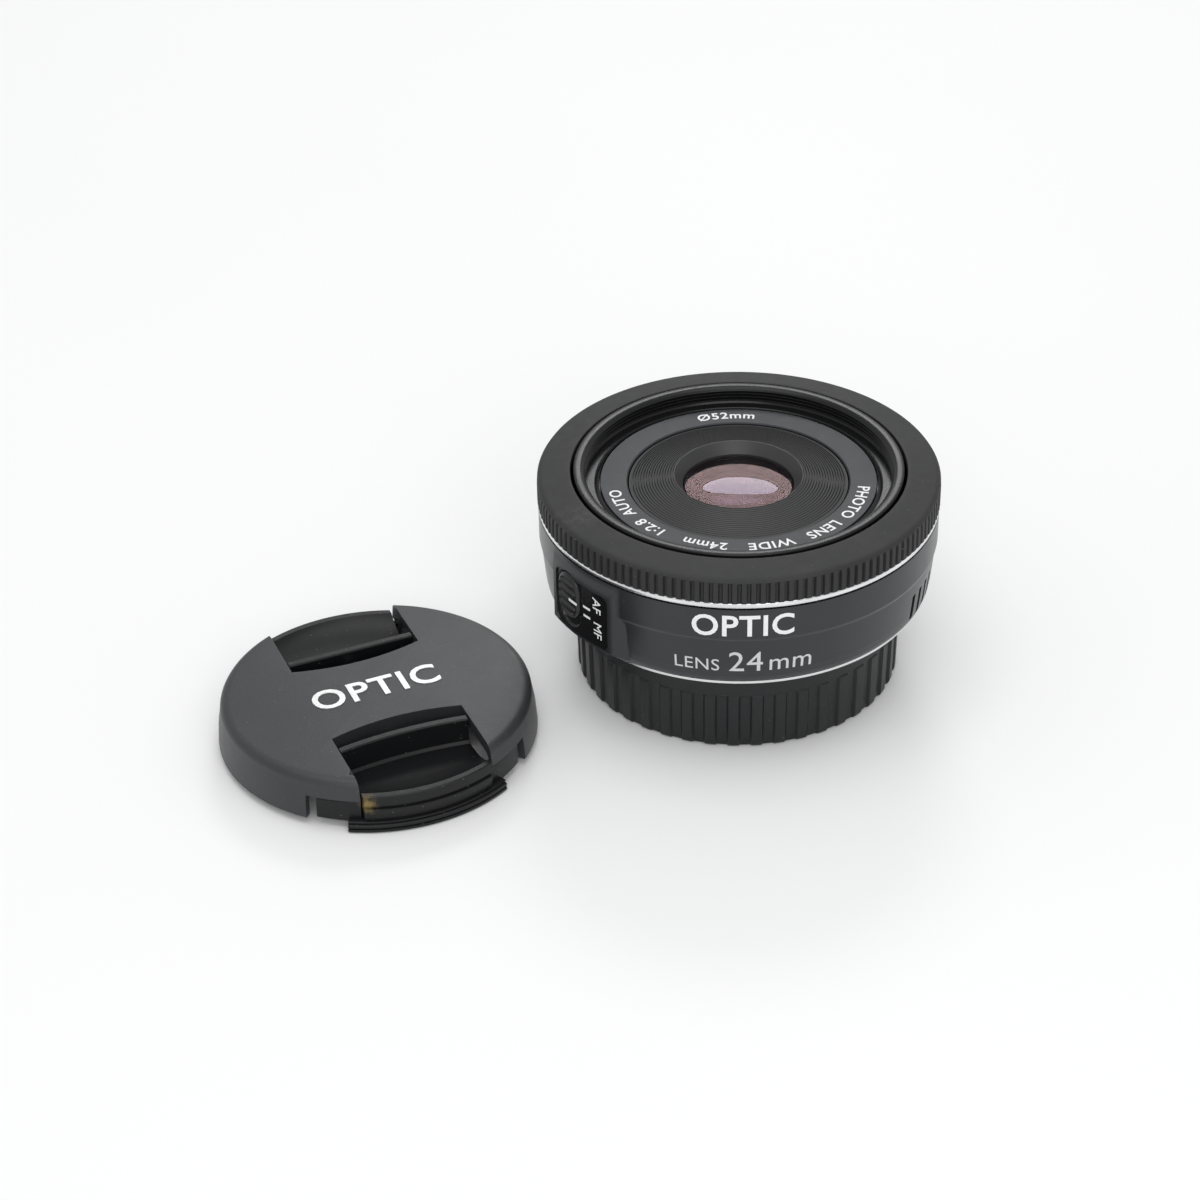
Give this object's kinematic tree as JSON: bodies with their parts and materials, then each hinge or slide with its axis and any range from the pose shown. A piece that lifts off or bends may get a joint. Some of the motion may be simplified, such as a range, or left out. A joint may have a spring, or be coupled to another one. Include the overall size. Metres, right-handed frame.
{
  "type": "prime camera lens",
  "caption": "Pancake prime camera lens on its rear dust cap, with ribbed focus ring, focus-mode switch and a pinch-type front cap lying beside it.",
  "frame": {"origin": "where the optical axis meets the flat bottom of the rear dust cap, on the surface that the lens stands on", "axes": "+Z along the optical axis towards the front glass, +Y away from the side with the focus-mode switch, +X to the right"},
  "size_m": [0.1229, 0.0832, 0.0386],
  "materials": {
    "barrel_plastic": "satin, fine grain",
    "ring_rubber_finish": "matte, ribbed",
    "name_ring_plastic": "matte",
    "baffle_plastic": "matte, ridged",
    "gloss_panel": "gloss",
    "knob_plastic": "satin, ribbed",
    "dust_cap_plastic": "satin, ribbed",
    "front_cap_plastic": "fine matte grain",
    "inner_plastic": "matte",
    "gear_plastic": "satin",
    "circuit_board": "solder mask",
    "flex_film": "film",
    "trim_metal": "turned, bright",
    "mount_metal": "polished",
    "contact_gold": "gold plated",
    "steel": "plain",
    "blade_metal": "blackened",
    "coated_glass": "polished, purple coating"
  },
  "bodies": {
    "lens_body": {"main_barrel": "barrel_plastic", "upper_trim_ring": "trim_metal", "switch_panel": "gloss_panel", "bayonet_mount": "mount_metal", "mount_screw_1": "steel", "mount_screw_2": "steel", "mount_screw_3": "steel", "mount_screw_4": "steel", "rear_baffle": "inner_plastic", "main_board": "circuit_board", "flex_cable": "flex_film", "contact_block": "inner_plastic", "contact_strip": "contact_gold", "encoder_sensor": "inner_plastic", "switch_board": "circuit_board", "guide_barrel": "inner_plastic", "idler_post": "steel", "focus_motor": "steel"},
    "focus_ring": {"focus_ring": "ring_rubber_finish", "encoder_comb": "inner_plastic"},
    "af_mf_knob": {"af_mf_knob": "knob_plastic"},
    "focus_group": {"inner_barrel": "barrel_plastic", "name_ring": "name_ring_plastic", "baffle_cone": "baffle_plastic", "element_1": "coated_glass", "element_spacer": "inner_plastic", "front_cell": "inner_plastic", "element_2": "coated_glass", "element_3": "coated_glass", "rear_cell": "inner_plastic", "element_4": "coated_glass", "element_5": "coated_glass", "element_6": "coated_glass", "group_carrier": "inner_plastic", "iris_housing": "inner_plastic", "iris_motor": "steel"},
    "iris_ring": {"iris_ring": "inner_plastic"},
    "iris_blade_1": {"iris_blade_1": "blade_metal"},
    "iris_blade_2": {"iris_blade_2": "blade_metal"},
    "iris_blade_3": {"iris_blade_3": "blade_metal"},
    "iris_blade_4": {"iris_blade_4": "blade_metal"},
    "iris_blade_5": {"iris_blade_5": "blade_metal"},
    "iris_blade_6": {"iris_blade_6": "blade_metal"},
    "iris_blade_7": {"iris_blade_7": "blade_metal"},
    "iris_pinion": {"iris_pinion": "gear_plastic"},
    "cam_ring": {"cam_ring": "inner_plastic"},
    "idler_gear": {"idler_gear": "gear_plastic"},
    "motor_pinion": {"motor_pinion": "gear_plastic"},
    "rear_cap": {"rear_cap": "dust_cap_plastic"},
    "front_cap": {"front_cap_body": "front_cap_plastic", "front_cap_spring_far": "steel", "front_cap_spring_near": "steel"},
    "front_cap_latch_far": {"front_cap_latch_far": "front_cap_plastic"},
    "front_cap_latch_near": {"front_cap_latch_near": "front_cap_plastic"}
  },
  "joints": [
    {"name": "focus_ring_turn", "type": "hinge", "parent": "lens_body", "child": "focus_ring", "pos_m": [0, 0, 0.0355], "axis": [0, 0, 1], "continuous": true},
    {"name": "af_mf_slide", "type": "slide", "parent": "lens_body", "child": "af_mf_knob", "axis": [0, 0, -1], "range_m": [0, 0.0017]},
    {"name": "cam_ring_turn", "type": "hinge", "parent": "lens_body", "child": "cam_ring", "pos_m": [0, 0, 0.026], "axis": [0, 0, 1], "range_deg": [0, 60.2]},
    {"name": "focus_extend", "type": "slide", "parent": "lens_body", "child": "focus_group", "axis": [0, 0, 1], "range_m": [0, 0.0045]},
    {"name": "idler_turn", "type": "hinge", "parent": "lens_body", "child": "idler_gear", "pos_m": [0.01125, 0.01949, 0.022], "axis": [0, 0, 1], "range_deg": [-242, 0]},
    {"name": "motor_pinion_turn", "type": "hinge", "parent": "lens_body", "child": "motor_pinion", "pos_m": [0.00441, 0.0241, 0.022], "axis": [0, 0, 1], "range_deg": [0, 290]},
    {"name": "iris_ring_turn", "type": "hinge", "parent": "focus_group", "child": "iris_ring", "pos_m": [0, 0, 0.0253], "axis": [0, 0, 1], "range_deg": [0, 25]},
    {"name": "iris_pinion_turn", "type": "hinge", "parent": "focus_group", "child": "iris_pinion", "pos_m": [-0.00181, 0.01024, 0.0253], "axis": [0, 0, 1], "range_deg": [-138, 0]},
    {"name": "iris_blade_1_swing", "type": "hinge", "parent": "focus_group", "child": "iris_blade_1", "pos_m": [0.0089, 0, 0.02277], "axis": [0, 0, 1], "range_deg": [0, 22.5]},
    {"name": "iris_blade_2_swing", "type": "hinge", "parent": "focus_group", "child": "iris_blade_2", "pos_m": [0.00555, 0.00696, 0.02301], "axis": [0, 0, 1], "range_deg": [0, 22.5]},
    {"name": "iris_blade_3_swing", "type": "hinge", "parent": "focus_group", "child": "iris_blade_3", "pos_m": [-0.00198, 0.00868, 0.02325], "axis": [0, 0, 1], "range_deg": [0, 22.5]},
    {"name": "iris_blade_4_swing", "type": "hinge", "parent": "focus_group", "child": "iris_blade_4", "pos_m": [-0.00802, 0.00386, 0.02349], "axis": [0, 0, 1], "range_deg": [0, 22.5]},
    {"name": "iris_blade_5_swing", "type": "hinge", "parent": "focus_group", "child": "iris_blade_5", "pos_m": [-0.00802, -0.00386, 0.02373], "axis": [0, 0, 1], "range_deg": [0, 22.5]},
    {"name": "iris_blade_6_swing", "type": "hinge", "parent": "focus_group", "child": "iris_blade_6", "pos_m": [-0.00198, -0.00868, 0.02397], "axis": [0, 0, 1], "range_deg": [0, 22.5]},
    {"name": "iris_blade_7_swing", "type": "hinge", "parent": "focus_group", "child": "iris_blade_7", "pos_m": [0.00555, -0.00696, 0.02421], "axis": [0, 0, 1], "range_deg": [0, 22.5]},
    {"name": "rear_cap_twist", "type": "hinge", "parent": "lens_body", "child": "rear_cap", "pos_m": [0, 0, 0], "axis": [0, 0, 1], "range_deg": [0, 60]},
    {"name": "front_cap_lift", "type": "slide", "parent": "lens_body", "child": "front_cap", "axis": [0, 0, 1], "range_m": [0, 0.03]},
    {"name": "latch_far_pinch", "type": "slide", "parent": "front_cap", "child": "front_cap_latch_far", "axis": [0.3827, -0.9239, 0], "range_m": [0, 0.002], "stiffness_N_per_m": 300, "springref_m": -0.001, "deforming": ["front_cap_spring_far"]},
    {"name": "latch_near_pinch", "type": "slide", "parent": "front_cap", "child": "front_cap_latch_near", "axis": [-0.3827, 0.9239, 0], "range_m": [0, 0.002], "stiffness_N_per_m": 300, "springref_m": -0.001, "deforming": ["front_cap_spring_near"]}
  ],
  "couplings": [
    {"joint": "cam_ring_turn", "follows": "focus_extend", "rad_per_m": 232.71},
    {"joint": "idler_turn", "follows": "focus_extend", "rad_per_m": -930.84},
    {"joint": "motor_pinion_turn", "follows": "focus_extend", "rad_per_m": 1117},
    {"joint": "iris_pinion_turn", "follows": "iris_ring_turn", "ratio": -5.5},
    {"joint": "iris_blade_1_swing", "follows": "iris_ring_turn", "ratio": 0.88},
    {"joint": "iris_blade_2_swing", "follows": "iris_ring_turn", "ratio": 0.88},
    {"joint": "iris_blade_3_swing", "follows": "iris_ring_turn", "ratio": 0.88},
    {"joint": "iris_blade_4_swing", "follows": "iris_ring_turn", "ratio": 0.88},
    {"joint": "iris_blade_5_swing", "follows": "iris_ring_turn", "ratio": 0.88},
    {"joint": "iris_blade_6_swing", "follows": "iris_ring_turn", "ratio": 0.88},
    {"joint": "iris_blade_7_swing", "follows": "iris_ring_turn", "ratio": 0.88}
  ]
}
